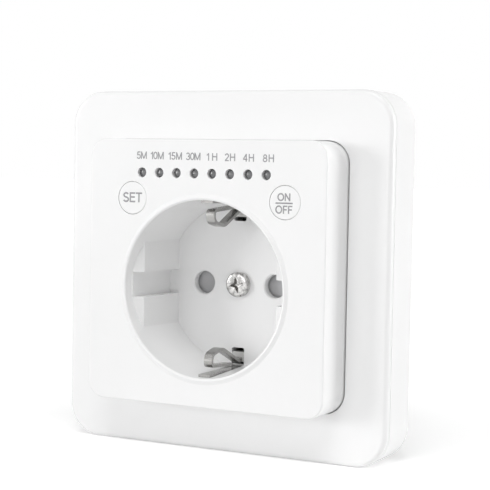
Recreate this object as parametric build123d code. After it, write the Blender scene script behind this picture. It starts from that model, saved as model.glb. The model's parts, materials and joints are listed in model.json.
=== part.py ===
from build123d import *
import os
from math import cos, radians, sin

# Flush-mounted countdown timer with an earthed socket outlet.
# Millimetres. X right, Z up, -Y towards the room. The origin is on the wall plane, in the middle
# of the frame. A level is a distance in front of the wall, so a level below zero is in the wall box.

# Cover frame
frame_border = 11.5
frame_corner = 8.0
frame_edge = 1.2
frame_wall = 2.2
frame_face = 2.0
seam_setback = 1.7
seam_width = 0.25
seam_depth = 0.2
collar_wall = 1.6
ledge_reach = 2.6
ledge_thickness = 1.6
frame_post_radius = 1.7

# Front cover
plate_border = 10.2
plate_proud = 9.0
plate_draft = 1.0
plate_corner = 4.0
plate_edge = 0.35
plate_wall = 1.8
plate_face = 2.0
plate_gap = 0.35
plate_top_gap = 0.2
plate_seat = 3.0

# Plug recess
socket_drop = 3.5
socket_radius = 20.3
socket_depth = 18.0
lip_round = 0.5
rim_width = 1.4
rim_slope = 0.85
rim_rise = 0.4
cup_wall = 1.6
floor_thickness = 2.0
floor_gap = 0.8
pin_spacing = 19.0
pin_hole_radius = 2.75
pin_hole_edge = 0.3
guide_depth = 3.8
guide_height = 21.0
guide_start = 1.2
guide_chamfer = 1.2
groove_width = 5.4
groove_depth = 2.5
channel_start = 1.5
window_inset = 5.2
window_round = 0.5
channel_boss_wall = 1.2

# Keys and lights in the front cover
button_radius = 3.75
button_gap = 0.1
button_edge = 0.15
button_flange = 0.5
button_flange_thickness = 1.2
button_play = 0.05
button_travel = 0.35
button_stem_radius = 1.4
light_count = 8
light_pitch = 4.59
light_rise = 5.95
light_shift = 0.35
light_hole_radius = 1.15
light_gap = 0.12
light_recess = 0.55
guide_bar_height = 2.4
guide_bar_thickness = 1.6
guide_bar_margin = 1.7

# Timer board and what it carries
board_thickness = 1.6
timer_board_setback = 4.0
timer_board_gap = 1.2
timer_board_bottom = 2.0
timer_board_corner = 2.0
timer_board_cup_gap = 1.0
board_post_radius = 2.0
board_post_inset = 2.6
board_screw_radius = 0.75
board_screw_head = 1.6
board_screw_head_height = 1.0
board_screw_length = 4.2
switch_side = 4.6
switch_height = 1.6
switch_chamfer = 0.3
plunger_radius = 0.9
plunger_length = 1.4
plunger_gap = 0.1
plunger_well = 1.3
led_width = 2.0
led_depth = 1.4
led_height = 2.2
led_round = 0.5
chip_length = 9.9
chip_width = 3.9
chip_height = 1.5
chip_lead = 1.1
chip_lead_width = 0.4
chip_lead_thickness = 0.25
chip_pitch = 1.27
chip_leads_a_side = 8
chip_x = -14.5
chip_rise = 0.65
link_rise = 1.25

# Plug connection between the boards
link_count = 4
link_pitch = 2.54
link_pin = 0.64
link_strip_width = 2.5
link_strip_height = 2.5
link_margin = 1.3
link_hole_radius = 0.52
link_solder = 0.4
link_engaged = 6.0
link_socket_front = 0.6

# Support plate and its fixings
support_gap = 4.3
support_thickness = 1.2
support_corner = 6.0
box_spacing = 60.0
box_slot_width = 4.2
box_slot_length = 6.0
side_slot_width = 4.2
side_slot_length = 6.0
plate_screw_margin = 2.9
plate_screw_radius = 1.1
plate_screw_head = 2.1
plate_screw_head_height = 1.0
plate_screw_length = 8.0

# Mounting claws
claw_gap = 1.0
claw_cup_gap = 0.9
claw_pivot_drop = 4.6
claw_sheet = 1.4
claw_width = 7.8
claw_eye = 1.3
claw_trunnion = 1.0
claw_heel = 3.6
claw_leg = 17.0
claw_bend = 1.2
claw_toe = 1.3
claw_tooth_count = 3
claw_tooth_depth = 1.1
claw_screw_radius = 1.25
claw_screw_head = 2.0
claw_screw_head_height = 1.6
claw_screw_length = 16.0
claw_screw_room = 0.35
claw_play = 0.06
lug_sheet = 1.2
lug_side = 0.3
lug_margin = 1.1

# Socket base
base_border = 7.2
base_flat = 19.5
base_depth = 12.0
base_boss_inset = 3.8
base_boss_gap = 0.2
chamber_wall = 1.3
chamber_depth = 3.2
pocket_width = 6.4
pocket_height = 8.6
pocket_wall = 1.2
rear_post_radius = 1.6
rear_post_height = 1.6
lower_post_x = 9.5
lower_post_z = -20.2
upper_post_x = 14.8
upper_post_z = 13.5

# Shutter and its spring
shutter_hub = 5.2
shutter_room = 1.6
shutter_half_angle = 19.0
shutter_thickness = 2.7
shutter_ramp = 1.5
shutter_lift = 0.2
shutter_fit = 0.06
spring_thickness = 0.3
spring_width = 1.8
spring_root_inset = 1.0
spring_tip_inset = 5.0
spring_root_angle = -58.0
spring_slot_depth = 0.6

# Earth parts
strap_width = 4.2
strap_thickness = 0.8
strap_bend = 1.2
strap_eye = 5.6
arm_width = 3.0
arm_inset = 0.7
tab_offset = 4.2
tab_height = 3.0
tab_inset = 0.9
clip_width = 2.1
clip_thickness = 0.7
clip_pad_inset = 1.9
clip_riser_inset = 4.1
clip_root_inset = 1.4
clip_shelf_drop = 0.7
clip_front = 3.6
clip_crest_rise = 9.6
clip_crest_inset = 6.1
clip_nose_inset = 5.0
clip_heel_inset = 2.45
clip_tail_rise = 4.6
clip_tail_inset = 1.8
clip_pad_bend = 0.6
clip_root_bend = 1.25
clip_crest_bend = 4.0
clip_nose_bend = 1.75
clip_heel_bend = 0.9
bush_neck = 3.2
bush_flange = 4.6
bush_flange_thickness = 1.5
strap_screw_inset = 3.4
strap_screw_radius = 0.9
strap_screw_head = 1.8
strap_screw_head_height = 1.1
strap_screw_length = 6.0

# Cover screw
cover_screw_radius = 1.75
cover_screw_head = 3.0
cover_screw_head_height = 1.5
cover_screw_length = 9.0

# Pin contacts
contact_thickness = 0.8
contact_width = 5.0
contact_waist = 2.3
contact_mouth = 3.3
contact_belly = 3.0
contact_bend = 0.9
contact_tail_width = 2.0

# Power board and what it carries
power_board_inset = 2.0
power_board_notch_gap = 0.4
relay_length = 29.0
relay_width = 12.7
relay_height = 15.6
relay_z = -11.0
relay_round = 0.6
film_length = 13.0
film_width = 6.0
film_height = 12.0
film_x = -6.2
film_gap = 0.6
film_round = 0.8
can_radius = 4.0
can_height = 12.0
can_x = 7.6
can_gap = 0.4
can_bead = 0.4
can_bead_height = 1.4
varistor_radius = 4.6
varistor_thickness = 3.4
varistor_x = -6.6
varistor_z = -1.4
varistor_lift = 1.2
varistor_lead_radius = 0.4
varistor_lead_spacing = 5.0
fuse_radius = 1.8
fuse_length = 8.6
fuse_x = 6.4
fuse_z = -2.2
fuse_cap_length = 1.8
fuse_cap_step = 0.15

# Terminals
pole_count = 3
pole_pitch = 7.6
terminal_height = 11.0
terminal_rise = 8.8
terminal_round = 0.5
clamp_wall = 0.9
clamp_width = 5.2
clamp_gap = 0.15
wire_hole_radius = 1.7
wire_hole_drop = 1.8
terminal_screw_radius = 1.5
terminal_screw_head = 1.9
terminal_screw_head_height = 1.4
terminal_screw_recess = 1.2
terminal_floor = 2.0

# Rear housing
housing_wall = 1.6
housing_back = 1.8
housing_edge = 1.4
housing_clearance = 0.3
column_radius = 2.6
column_inset = 3.7
column_z = 1.0
housing_screw_radius = 1.2
housing_screw_head = 2.1
housing_screw_head_height = 1.5
housing_screw_sink = 2.6
housing_screw_bite = 6.0
access_radius = 2.4

# Fits
fit = 0.15
screw_fit = 0.05
overrun = 1.0

# Angle of the cross recesses
cross_turn = 12.0

# Shares of the size that they follow
cross_tip_share = 0.66
cross_waist_share = 0.26
cross_taper_share = 0.5
slot_width_share = 0.2
cross_depth_share = 0.6
head_round_share = 0.45
countersink_share = 0.5
set_share = 0.931
power_share = 1.007
button_rise_share = 1.001

# Levels from the room to the back of the wall box
floor_back_level = support_thickness + floor_gap
floor_level = floor_back_level + floor_thickness
front_level = floor_level + socket_depth
face_back_level = front_level - plate_face
frame_depth = front_level - plate_proud
skirt_level = frame_depth - plate_seat
ledge_back_level = skirt_level - ledge_thickness
timer_board_level = face_back_level - timer_board_setback
timer_board_back_level = timer_board_level - board_thickness
boss_level = floor_back_level - base_boss_gap
chamber_level = boss_level - chamber_depth
strap_back_level = chamber_level - strap_thickness
pocket_level = strap_back_level - pocket_wall
base_back_level = -base_depth
power_board_level = base_back_level - rear_post_height
power_board_back_level = power_board_level - board_thickness
housing_inner_level = power_board_back_level - relay_height - housing_clearance
housing_back_level = housing_inner_level - housing_back

# Sizes that follow from the ones above
socket_z = -socket_drop
cup_radius = socket_radius + cup_wall
base_radius = socket_radius + base_border
plate_side = 2 * (socket_radius + plate_border)
frame_side = plate_side + 2 * frame_border
support_side = frame_side - 2 * (frame_wall + support_gap)
timer_board_side = plate_side - 2 * (plate_wall + timer_board_gap)
set_x = -socket_radius * set_share
power_x = socket_radius * power_share
button_z = socket_z + socket_radius * button_rise_share
light_z = button_z + light_rise
chip_z = light_z + chip_rise
link_z = light_z + link_rise
guide_flat = socket_radius - guide_depth
groove_back = guide_flat + groove_depth
window_reach = socket_radius - window_inset
arm_radius = socket_radius - arm_inset
base_boss_radius = socket_radius - base_boss_inset
chamber_radius = base_boss_radius - chamber_wall
shutter_reach = chamber_radius - shutter_room
spring_root_radius = chamber_radius - spring_root_inset
spring_tip_radius = shutter_reach - spring_tip_inset
strap_screw_reach = chamber_radius - strap_screw_inset
plate_screw_pitch_radius = base_boss_radius + plate_screw_margin
tab_z = socket_z + base_boss_radius - tab_inset
claw_pivot_x = base_flat + claw_gap + claw_eye
claw_screw_x = cup_radius + claw_screw_head + claw_cup_gap
claw_reach = claw_screw_x - claw_pivot_x + claw_heel
column_x = base_flat - column_inset
plate_base_width = plate_side + 2 * plate_draft
plate_base_corner = plate_corner + plate_draft
opening_width = plate_base_width + 2 * plate_gap
opening_height = plate_side + 2 * plate_top_gap
opening_corner = plate_base_corner + plate_gap
button_hole_radius = button_radius + button_gap
first_light_x = -light_shift - light_pitch * (light_count - 1) / 2
channel_width = arm_width + 2 * fit
channel_radius = arm_radius + strap_thickness + fit
post_x = opening_width / 2 - frame_post_radius / 2
post_z = opening_height / 2 - frame_post_radius / 2
board_post_x = timer_board_side / 2 - board_post_inset
board_post_top = timer_board_side / 2 - board_post_inset
board_post_low = timer_board_bottom + board_post_inset
terminal_width = pole_count * pole_pitch
terminal_z = terminal_rise + terminal_height / 2
film_z = terminal_rise - film_gap - film_width / 2
can_z = terminal_rise - can_gap - can_radius
claw_pivot_level = -claw_pivot_drop
lug_inner = claw_width / 2 + lug_side
lug_outer = lug_inner + lug_sheet
lug_width = 2 * (claw_trunnion + lug_margin)
lug_depth = claw_pivot_drop + claw_trunnion + lug_margin
link_length = (link_count - 1) * link_pitch + 2 * link_margin
flange_level = face_back_level - button_play
plunger_foot_level = timer_board_level + switch_height - plunger_well + button_travel + plunger_gap
plunger_tip_level = plunger_foot_level + plunger_length
housing_screws_at = [(-column_x, column_z), (column_x, column_z)]
rear_posts_at = [
    (-lower_post_x, lower_post_z),
    (lower_post_x, lower_post_z),
    (-upper_post_x, upper_post_z),
    (upper_post_x, upper_post_z),
]
board_posts_at = [
    (-board_post_x, board_post_top),
    (board_post_x, board_post_top),
    (-board_post_x, board_post_low),
    (board_post_x, board_post_low),
]
strap_screws_at = [(0, socket_z + strap_screw_reach), (0, socket_z - strap_screw_reach)]
light_places = [first_light_x + light_pitch * i for i in range(light_count)]
pole_places = [pole_pitch * (i - (pole_count - 1) / 2) for i in range(pole_count)]
link_places = [link_pitch * (i - (link_count - 1) / 2) for i in range(link_count)]
plate_screws_at = [
    (
        plate_screw_pitch_radius * cos(radians(angle)),
        socket_z + plate_screw_pitch_radius * sin(radians(angle)),
    )
    for angle in (45, 135, 225, 315)
]


def at_level(level):
    """The plane at a level, facing the room, with X right and Z up."""
    return Plane((0, -level, 0), x_dir=(1, 0, 0), z_dir=(0, -1, 0))


def slab(sketch, start, end):
    """A sketch drawn in X and Z, made solid between two levels."""
    return extrude(at_level(min(start, end)) * sketch, amount=abs(end - start))


def disc(radius, x, z, start, end):
    return slab(Pos(x, z) * Circle(radius), start, end)


def block(width, height, x, z, start, end):
    return slab(Pos(x, z) * Rectangle(width, height), start, end)


def rounded(side, corner):
    return RectangleRounded(side, side, corner)


def strip(points, bends, width, thickness):
    """A bent metal strip along a path in the plane X = 0."""
    path = FilletPolyline(*points, radius=bends)
    section = Plane(path @ 0, x_dir=(1, 0, 0), z_dir=path % 0) * Rectangle(width, thickness)
    return sweep(section, path)


def star(radius):
    """The four-pointed outline of a cross recess."""
    corners = []
    for i in range(4):
        for share, angle in ((cross_tip_share, 90 * i), (cross_waist_share, 90 * i + 45)):
            turn = radians(angle + cross_turn)
            corners.append((radius * share * cos(turn), radius * share * sin(turn)))
    return make_face(Polyline(*corners, close=True))


def cross_recess(x, z, radius, face, depth, facing):
    """A cross recess that narrows towards its bottom."""
    mouth = at_level(face) * Pos(x, z) * star(radius)
    bottom = at_level(face - facing * depth) * Pos(x, z) * star(radius * cross_taper_share)
    return loft([mouth, bottom], ruled=True)


def pan_screw(x, z, seat, head, head_height, radius, length, facing=1):
    """A round-headed screw whose head stands on a seat and looks to the room or away from it."""
    face = seat + facing * head_height
    cap = disc(head, x, z, seat, face)
    rim = cap.edges().filter_by(GeomType.CIRCLE).sort_by(Axis.Y)
    cap = fillet(rim[0] if facing > 0 else rim[-1], head_height * head_round_share)
    screw = cap + disc(radius, x, z, seat, seat - facing * length)
    return screw - cross_recess(x, z, head, face, head_height * cross_depth_share, facing)


def along_z(radius, x, level, low, high):
    """An upright round pin."""
    return extrude(Plane((x, -level, low)) * Circle(radius), amount=high - low)


# Cover frame and front cover

def opening_outline(grow):
    """The opening in the frame for the front cover, grown or shrunk all round."""
    return RectangleRounded(opening_width + 2 * grow, opening_height + 2 * grow, opening_corner + grow)


def make_cover_frame():
    body = slab(rounded(frame_side, frame_corner), 0, frame_depth)
    front_rim = body.edges().group_by(Axis.Y)[0]
    body = fillet(front_rim, frame_edge)
    seam_level = frame_depth - seam_setback
    seam_outer = rounded(frame_side + 2 * overrun, frame_corner + overrun)
    seam_inner = rounded(frame_side - 2 * seam_depth, frame_corner - seam_depth)
    body -= slab(seam_outer - seam_inner, seam_level - seam_width, seam_level)
    inner = rounded(frame_side - 2 * frame_wall, frame_corner - frame_wall)
    collar = opening_outline(collar_wall)
    body -= slab(inner - collar, ledge_back_level, frame_depth - frame_face)
    body -= slab(inner, -overrun, ledge_back_level)
    body -= slab(opening_outline(0), skirt_level, frame_depth + overrun)
    body -= slab(opening_outline(-ledge_reach), -overrun, skirt_level)
    for x in (-post_x, post_x):
        for z in (-post_z, post_z):
            body += disc(frame_post_radius, x, z, support_thickness, ledge_back_level)
    return body


def plate_outline(level, inset):
    """The front cover at a level: its two upright sides lean in towards the front."""
    lean = plate_draft * (front_level - level) / plate_proud
    width = plate_side + 2 * lean - 2 * inset
    return RectangleRounded(width, plate_side - 2 * inset, plate_corner + lean - inset)


def drafted_plate(inset, start, end):
    """The body of the front cover between two levels, set in by a wall."""
    return loft([at_level(level) * plate_outline(level, inset) for level in (start, end)])


def guide_block(side):
    """The flat guide at one side of the recess, with its groove and its sloped front."""
    top_level = front_level - guide_start
    height = guide_height
    middle = (guide_flat + cup_radius) / 2
    width = cup_radius - guide_flat
    body = block(width, height, side * middle, socket_z, floor_level, top_level)
    slope = body.edges().group_by(Axis.Y)[0].filter_by(Axis.Z)
    slope = slope.sort_by(Axis.X)[-1 if side < 0 else 0]
    body = chamfer(slope, guide_chamfer)
    cut_width = groove_back - guide_flat + overrun
    cut_middle = groove_back - cut_width / 2
    body -= block(cut_width, groove_width, side * cut_middle, socket_z, floor_level, front_level)
    return body & disc(cup_radius, 0, socket_z, floor_level, front_level)


def earth_channel(side):
    """The cut in the recess wall and floor for the earth strap and its clip."""
    middle = socket_z + side * (channel_radius + window_reach) / 2
    window = RectangleRounded(channel_width, channel_radius - window_reach, window_round)
    floor_cut = slab(Pos(0, middle) * window, floor_back_level - overrun, floor_level + overrun)
    inside = socket_radius - channel_width
    wall_middle = socket_z + side * (channel_radius + inside) / 2
    wall_size = channel_radius - inside
    start = floor_back_level - overrun
    end = front_level - channel_start
    return floor_cut + block(channel_width, wall_size, 0, wall_middle, floor_level, end) + block(
        channel_width, channel_radius - arm_radius, 0,
        socket_z + side * (channel_radius + arm_radius) / 2, start, end
    )


def mouth_rim():
    """The low raised rim round the mouth of the recess, sloped on its outside."""
    foot = socket_radius + rim_width
    rim = Cone(foot, foot - rim_slope, rim_rise, align=(Align.CENTER, Align.CENTER, Align.MIN))
    return at_level(front_level) * Pos(0, socket_z) * rim


def make_front_cover():
    shell = drafted_plate(0, frame_depth, front_level)
    shell = fillet(shell.edges().group_by(Axis.Y)[0], plate_edge)
    shell += slab(plate_outline(frame_depth, 0), skirt_level, frame_depth)
    shell -= drafted_plate(plate_wall, frame_depth, face_back_level)
    shell -= slab(plate_outline(frame_depth, plate_wall), skirt_level - overrun, frame_depth)
    cup = disc(cup_radius, 0, socket_z, floor_back_level, face_back_level + plate_face / 2)
    boss_width = channel_width + 2 * channel_boss_wall
    boss_height = 2 * (channel_radius + channel_boss_wall)
    cup += block(boss_width, boss_height, 0, socket_z, floor_back_level, face_back_level)
    shell += cup + mouth_rim()
    shell -= disc(socket_radius, 0, socket_z, floor_level, front_level + overrun)
    mouth = shell.edges().filter_by(GeomType.CIRCLE).group_by(Axis.Y)[0]
    shell = fillet(mouth.sort_by(SortBy.RADIUS)[0], lip_round)
    shell += guide_block(-1) + guide_block(1)
    shell -= earth_channel(1) + earth_channel(-1)
    for x in (-pin_spacing / 2, pin_spacing / 2):
        shell -= disc(pin_hole_radius, x, socket_z, floor_back_level - overrun, floor_level + overrun)
        flare = Cone(pin_hole_radius, pin_hole_radius + 2 * pin_hole_edge, 2 * pin_hole_edge)
        shell -= at_level(floor_level) * Pos(x, socket_z) * flare
    hole_radius = cover_screw_radius + fit
    shell -= disc(hole_radius, 0, socket_z, floor_back_level - overrun, floor_level + overrun)
    for x in (set_x, power_x):
        shell -= disc(button_hole_radius, x, button_z, face_back_level - overrun, front_level + overrun)
    for x in light_places:
        shell -= disc(light_hole_radius, x, light_z, face_back_level - overrun, front_level + overrun)
    for x, z in board_posts_at:
        shell += disc(board_post_radius, x, z, timer_board_level, face_back_level)
        pilot = board_screw_radius + screw_fit
        shell -= disc(pilot, x, z, timer_board_level - overrun, face_back_level)
    return shell


def make_cover_screw():
    return pan_screw(
        0, socket_z, floor_level, cover_screw_head, cover_screw_head_height,
        cover_screw_radius, cover_screw_length
    )


# Keys, lights and the timer board

def make_button(x):
    cap = disc(button_radius, x, button_z, flange_level - button_flange_thickness, front_level)
    rim = cap.edges().filter_by(GeomType.CIRCLE).sort_by(Axis.Y)[0]
    cap = fillet(rim, button_edge)
    flange = button_hole_radius + button_flange
    cap += disc(flange, x, button_z, flange_level - button_flange_thickness, flange_level)
    return cap + disc(button_stem_radius, x, button_z, plunger_tip_level, flange_level)


def make_plunger(x):
    return disc(plunger_radius, x, button_z, plunger_foot_level, plunger_tip_level)


def switch_body(x):
    top = timer_board_level + switch_height
    body = block(switch_side, switch_side, x, button_z, timer_board_level, top)
    body = chamfer(body.edges().group_by(Axis.Y)[0], switch_chamfer)
    well = plunger_radius + plunger_gap
    return body - disc(well, x, button_z, top - plunger_well, top + overrun)


def make_light_guide():
    length = light_pitch * (light_count - 1) + 2 * guide_bar_margin
    back = face_back_level - guide_bar_thickness
    comb = block(length, guide_bar_height, -light_shift, light_z, back, face_back_level)
    radius = light_hole_radius - light_gap
    for x in light_places:
        end = front_level - light_recess - radius / 2
        dome = Pos(x, -end, light_z) * scale(Sphere(1), by=(radius, radius / 2, radius))
        comb += disc(radius, x, light_z, back, end) + dome
    return comb


def make_led(x):
    top = timer_board_level + led_height
    body = block(led_width, led_depth, x, light_z, timer_board_level, top)
    return fillet(body.edges().group_by(Axis.Y)[0], led_round)


def make_timer_board():
    height = timer_board_side / 2 - timer_board_bottom
    middle = timer_board_bottom + height / 2
    outline = Pos(0, middle) * RectangleRounded(timer_board_side, height, timer_board_corner)
    outline -= Pos(0, socket_z) * Circle(channel_radius + channel_boss_wall + timer_board_cup_gap)
    board = slab(outline, timer_board_back_level, timer_board_level)
    for x, z in board_posts_at:
        board -= disc(board_screw_radius + fit, x, z, timer_board_back_level - overrun, timer_board_level + overrun)
    for x in link_places:
        board -= disc(link_hole_radius, x, link_z, timer_board_back_level - overrun, timer_board_level + overrun)
    return board


def make_controller_chip():
    top = timer_board_back_level - chip_height
    body = block(chip_length, chip_width, chip_x, chip_z, top, timer_board_back_level)
    body = chamfer(body.edges().group_by(Axis.Y)[-1], chip_lead_thickness)
    span = chip_width + 2 * chip_lead
    for i in range(chip_leads_a_side):
        x = chip_x + chip_pitch * (i - (chip_leads_a_side - 1) / 2)
        foot_level = timer_board_back_level - chip_lead_thickness
        body += block(chip_lead_width, span, x, chip_z, foot_level, timer_board_back_level)
    return body


def board_screw(x, z):
    return pan_screw(
        x, z, timer_board_back_level, board_screw_head, board_screw_head_height,
        board_screw_radius, board_screw_length, facing=-1
    )


# Plug connection between the boards

def make_link_header():
    back = timer_board_back_level - link_strip_height
    strip_body = block(link_length, link_strip_width, 0, link_z, back, timer_board_back_level)
    for x in link_places:
        strip_body -= disc(link_hole_radius, x, link_z, back - overrun, timer_board_back_level + overrun)
    return strip_body


def link_pin_at(x):
    tip = link_socket_front - link_engaged
    return block(link_pin, link_pin, x, link_z, tip, timer_board_level + link_solder)


def make_link_socket():
    body = block(link_length, link_strip_width, 0, link_z, power_board_level, link_socket_front)
    bottom = link_socket_front - link_engaged - fit
    for x in link_places:
        body -= disc(link_hole_radius, x, link_z, bottom, link_socket_front + overrun)
    return body


# Support plate

def make_support_plate():
    outline = rounded(support_side, support_corner)
    outline -= Pos(0, socket_z) * Circle(base_boss_radius + fit)
    notch = 2 * (channel_radius + fit)
    outline -= Pos(0, socket_z) * Rectangle(channel_width + 2 * fit, notch)
    outline -= Pos(0, link_z) * Rectangle(link_length + 2 * fit, link_strip_width + 2 * fit)
    plate = slab(outline, 0, support_thickness)
    for x in (-box_spacing / 2, box_spacing / 2):
        slot = Pos(x, 0) * SlotOverall(box_slot_length, box_slot_width)
        plate -= slab(slot, -overrun, support_thickness + overrun)
    for z in (-box_spacing / 2, box_spacing / 2):
        slot = Pos(0, z) * SlotOverall(side_slot_length, side_slot_width)
        plate -= slab(slot, -overrun, support_thickness + overrun)
    for x, z in plate_screws_at:
        plate -= countersunk(x, z, screw_fit)
        plate -= disc(plate_screw_radius + fit, x, z, -overrun, support_thickness)
    for side in (-1, 1):
        hole = claw_screw_radius + claw_play
        plate -= disc(hole, side * claw_screw_x, 0, -overrun, support_thickness + overrun)
        for end in (-1, 1):
            plate = claw_lug(plate, side * claw_pivot_x, end)
    return plate


def claw_lug(plate, x, end):
    """Turn one lug back out of the plate, leave the window it came from and bore it for a trunnion."""
    window_z = end * (lug_outer + lug_depth / 2)
    plate -= block(lug_width, lug_depth, x, window_z, -overrun, support_thickness + overrun)
    lug = block(lug_width, lug_sheet, x, end * (lug_inner + lug_sheet / 2), -lug_depth, support_thickness)
    corners = lug.edges().filter_by(Axis.Z).group_by(Axis.Y)[-1]
    lug = fillet(corners, lug_margin)
    low = min(end * (lug_inner - overrun), end * (lug_outer + overrun))
    high = max(end * (lug_inner - overrun), end * (lug_outer + overrun))
    return plate + lug - along_z(claw_trunnion + claw_play, x, claw_pivot_level, low, high)


def make_claw(side):
    """A sheet-steel claw: eye and trunnions, a slotted flange for the screw, a leg and a toothed toe."""
    x = side * claw_pivot_x
    outer = side * (claw_pivot_x + claw_reach - claw_sheet / 2)
    toe_end = outer + side * claw_toe
    leg_level = claw_pivot_level - claw_leg
    path = FilletPolyline(
        (x, claw_pivot_drop, 0), (outer, claw_pivot_drop, 0), (outer, -leg_level, 0), (toe_end, -leg_level, 0),
        radius=claw_bend
    )
    section = Plane(path @ 0, x_dir=(0, 0, 1), z_dir=path % 0) * Rectangle(claw_width, claw_sheet)
    claw = sweep(section, path)
    claw += along_z(claw_eye, x, claw_pivot_level, -claw_width / 2, claw_width / 2)
    claw += along_z(claw_trunnion, x, claw_pivot_level, -lug_outer, lug_outer)
    near = claw_screw_x - claw_pivot_x - claw_screw_radius - claw_screw_room
    far = claw_reach - claw_sheet - claw_screw_room / 2
    width = 2 * (claw_screw_radius + claw_screw_room)
    slot = Pos(x + side * (near + far) / 2, 0) * Rectangle(far - near, width)
    claw -= slab(slot, claw_pivot_level - claw_sheet, claw_pivot_level + claw_sheet)
    pitch = claw_width / claw_tooth_count
    for i in range(claw_tooth_count - 1):
        notch_z = pitch * (i + 1) - claw_width / 2
        tip = toe_end + side * claw_sheet / 4
        gap = Pos(tip, notch_z) * Rot(0, 0, 45) * Rectangle(claw_tooth_depth, claw_tooth_depth)
        claw -= slab(gap, leg_level - claw_sheet, leg_level + claw_sheet)
    return claw


def make_claw_screw(side):
    return pan_screw(
        side * claw_screw_x, 0, support_thickness + claw_play, claw_screw_head, claw_screw_head_height,
        claw_screw_radius, claw_screw_length
    )


def countersunk(x, z, allowance):
    """The cone of a countersunk head, flush with the front of the support plate."""
    cone = Cone(
        plate_screw_radius + allowance, plate_screw_head + allowance, plate_screw_head_height,
        align=(Align.CENTER, Align.CENTER, Align.MIN)
    )
    seat = support_thickness - plate_screw_head_height
    return at_level(seat) * Pos(x, z) * cone


def plate_screw(x, z):
    screw = countersunk(x, z, 0)
    screw += disc(plate_screw_radius, x, z, support_thickness - plate_screw_length, support_thickness)
    depth = plate_screw_head_height * countersink_share
    return screw - cross_recess(x, z, plate_screw_head, support_thickness, depth, 1)


# Socket base, shutter and contacts

def base_outline(inset):
    outer = Circle(base_radius - inset)
    return outer & Rectangle(2 * (base_flat - inset), 2 * base_radius)


def make_socket_base():
    base = slab(base_outline(0), base_back_level, 0)
    base += disc(base_boss_radius, 0, socket_z, 0, boss_level)
    base -= disc(chamber_radius, 0, socket_z, chamber_level, boss_level + overrun)
    groove = 2 * (arm_radius + strap_thickness + fit)
    base -= block(strap_width + 2 * fit, groove, 0, socket_z, strap_back_level, boss_level + overrun)
    base -= disc(strap_eye + fit, 0, socket_z, strap_back_level, boss_level + overrun)
    flange_back = strap_back_level - bush_flange_thickness
    base -= disc(bush_flange + fit, 0, socket_z, flange_back, strap_back_level)
    tip = floor_level - cover_screw_length - overrun
    base -= disc(cover_screw_radius + fit, 0, socket_z, tip, flange_back)
    for side in (-1, 1):
        x = side * pin_spacing / 2
        base -= disc(pin_hole_radius, x, socket_z, pocket_level - overrun, chamber_level + overrun)
        base -= block(pocket_width, pocket_height, x, socket_z, base_back_level - overrun, pocket_level)
    for x, z in plate_screws_at:
        depth = support_thickness - plate_screw_length - overrun
        base -= disc(plate_screw_radius + screw_fit, x, z, depth, overrun)
    for x, z in strap_screws_at:
        depth = strap_back_level - strap_screw_length
        base -= disc(strap_screw_radius + screw_fit, x, z, depth, strap_back_level)
    for x, z in housing_screws_at:
        top = base_back_level + housing_screw_bite + fit
        base -= disc(housing_screw_radius + screw_fit, x, z, base_back_level - overrun, top)
    window_width = link_length + 2 * fit
    base -= block(window_width, link_strip_width + 2 * fit, 0, link_z, base_back_level - overrun, overrun)
    base -= earth_tab(fit, base_back_level - overrun, strap_back_level) + earth_ear(fit, overrun)
    base -= spring_slot()
    for x, z in rear_posts_at:
        base += disc(rear_post_radius, x, z, power_board_level, base_back_level)
    return base


def make_shutter():
    back = chamber_level + shutter_lift
    face = back + shutter_thickness
    body = disc(shutter_hub, 0, socket_z, back, face)
    for turn in (0, 180):
        start = turn - shutter_half_angle
        arc = CenterArc((0, 0), shutter_reach, start, 2 * shutter_half_angle)
        wing = make_face(Polyline(arc @ 1, (0, 0), arc @ 0) + arc)
        wing = slab(Pos(0, socket_z) * wing, back, face)
        body += wing
        edge_angle = radians(turn + shutter_half_angle)
        slope = Plane(
            (shutter_reach * cos(edge_angle), -face, socket_z + shutter_reach * sin(edge_angle)),
            x_dir=(cos(edge_angle), 0, sin(edge_angle)),
            z_dir=(-sin(edge_angle), -shutter_ramp / shutter_hub, cos(edge_angle)),
        )
        cutter = slope * Box(
            2 * shutter_reach, shutter_reach, shutter_reach,
            align=(Align.CENTER, Align.CENTER, Align.MIN)
        )
        body -= cutter & wing
    body += disc(shutter_hub, 0, socket_z, back, face)
    return body - disc(bush_neck + shutter_fit, 0, socket_z, back - overrun, face + overrun)


def spring_points():
    """The leaf spring's root in the chamber wall and its tip on the shutter's wing."""
    root = radians(spring_root_angle)
    tip = radians(-shutter_half_angle)
    start = (spring_root_radius * cos(root), spring_root_radius * sin(root))
    rest = (spring_tip_radius * cos(tip), spring_tip_radius * sin(tip))
    drop = spring_thickness / 2 + fit
    end = (rest[0] + drop * sin(tip), rest[1] - drop * cos(tip))
    return start, end


def spring_slot():
    start, end = spring_points()
    size = 2 * spring_thickness + 2 * fit
    return block(size, size, start[0], socket_z + start[1], chamber_level - spring_slot_depth, chamber_level)


def make_shutter_spring():
    start, end = spring_points()
    path = TangentArc(start, end, tangent=(-start[1], start[0]))
    leaf = trace(path, line_width=spring_thickness)
    low = chamber_level + shutter_lift
    spring = slab(Pos(0, socket_z) * leaf, low, low + spring_width)
    foot = block(
        spring_thickness, spring_thickness, start[0], socket_z + start[1],
        chamber_level - spring_slot_depth, low + spring_width
    )
    return spring + foot


def earth_tab(allowance, back, front):
    """The solder tab at the side of the earth strap, with room round it for its slot."""
    x = tab_offset + strap_thickness / 2
    return block(strap_thickness + 2 * allowance, tab_height + 2 * allowance, x, tab_z, back, front)


def earth_ear(allowance, front):
    """The ear that carries the solder tab out of the strap's side."""
    width = tab_offset + strap_thickness + allowance
    return block(width, tab_height + 2 * allowance, width / 2, tab_z, strap_back_level, front)


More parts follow.
